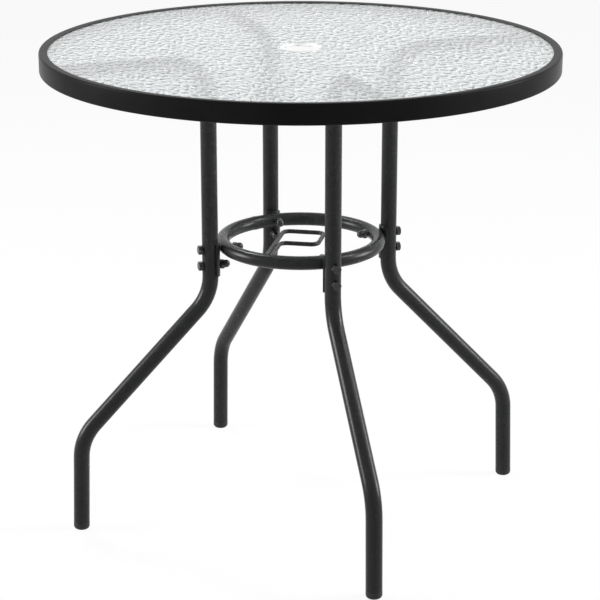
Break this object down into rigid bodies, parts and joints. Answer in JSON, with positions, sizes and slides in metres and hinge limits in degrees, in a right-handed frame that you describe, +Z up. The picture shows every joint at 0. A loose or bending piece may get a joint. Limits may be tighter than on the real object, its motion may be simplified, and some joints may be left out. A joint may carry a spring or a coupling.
{
  "type": "umbrella table",
  "caption": "Round patio table: patterned glass top in a steel rim with a central umbrella hole, bent tube legs tied by a tube ring that holds a wire guide for the umbrella pole.",
  "frame": {"origin": "on the floor, in the middle of the table under the umbrella hole", "axes": "+Z up, +X through the right leg, -Y through the front leg"},
  "size_m": [0.8, 0.8, 0.762],
  "materials": {
    "rim_steel": "black powder coat, smooth satin",
    "frame_steel": "black powder coat, satin with a fine grain",
    "patterned_glass": "clear tempered glass with a rolled wrinkle pattern",
    "clear_pad": "clear soft plastic",
    "cap_plastic": "black moulded plastic",
    "black_hardware": "black coated steel fasteners"
  },
  "bodies": {
    "root": {"table_rim": "rim_steel", "glass_top": "patterned_glass", "carrier_ring": "rim_steel", "support_ring": "frame_steel", "umbrella_guide": "frame_steel", "glass_pad_1": "clear_pad", "glass_pad_2": "clear_pad", "glass_pad_3": "clear_pad", "glass_pad_4": "clear_pad", "glass_pad_5": "clear_pad", "glass_pad_6": "clear_pad", "glass_pad_7": "clear_pad", "glass_pad_8": "clear_pad", "leg_right": "frame_steel", "leg_back": "frame_steel", "leg_left": "frame_steel", "leg_front": "frame_steel", "foot_cap_right": "cap_plastic", "foot_cap_back": "cap_plastic", "foot_cap_left": "cap_plastic", "foot_cap_front": "cap_plastic", "ring_saddle_right": "frame_steel", "ring_saddle_back": "frame_steel", "ring_saddle_left": "frame_steel", "ring_saddle_front": "frame_steel", "rim_spigot_right": "rim_steel", "rim_spigot_back": "rim_steel", "rim_spigot_left": "rim_steel", "rim_spigot_front": "rim_steel", "arm_screw_right": "black_hardware", "arm_screw_back": "black_hardware", "arm_screw_left": "black_hardware", "arm_screw_front": "black_hardware", "upper_bolt_right": "black_hardware", "upper_bolt_back": "black_hardware", "upper_bolt_left": "black_hardware", "upper_bolt_front": "black_hardware", "lower_bolt_right": "black_hardware", "lower_bolt_back": "black_hardware", "lower_bolt_left": "black_hardware", "lower_bolt_front": "black_hardware", "upper_nut_right": "black_hardware", "upper_nut_back": "black_hardware", "upper_nut_left": "black_hardware", "upper_nut_front": "black_hardware", "lower_nut_right": "black_hardware", "lower_nut_back": "black_hardware", "lower_nut_left": "black_hardware", "lower_nut_front": "black_hardware"}
  },
  "joints": []
}
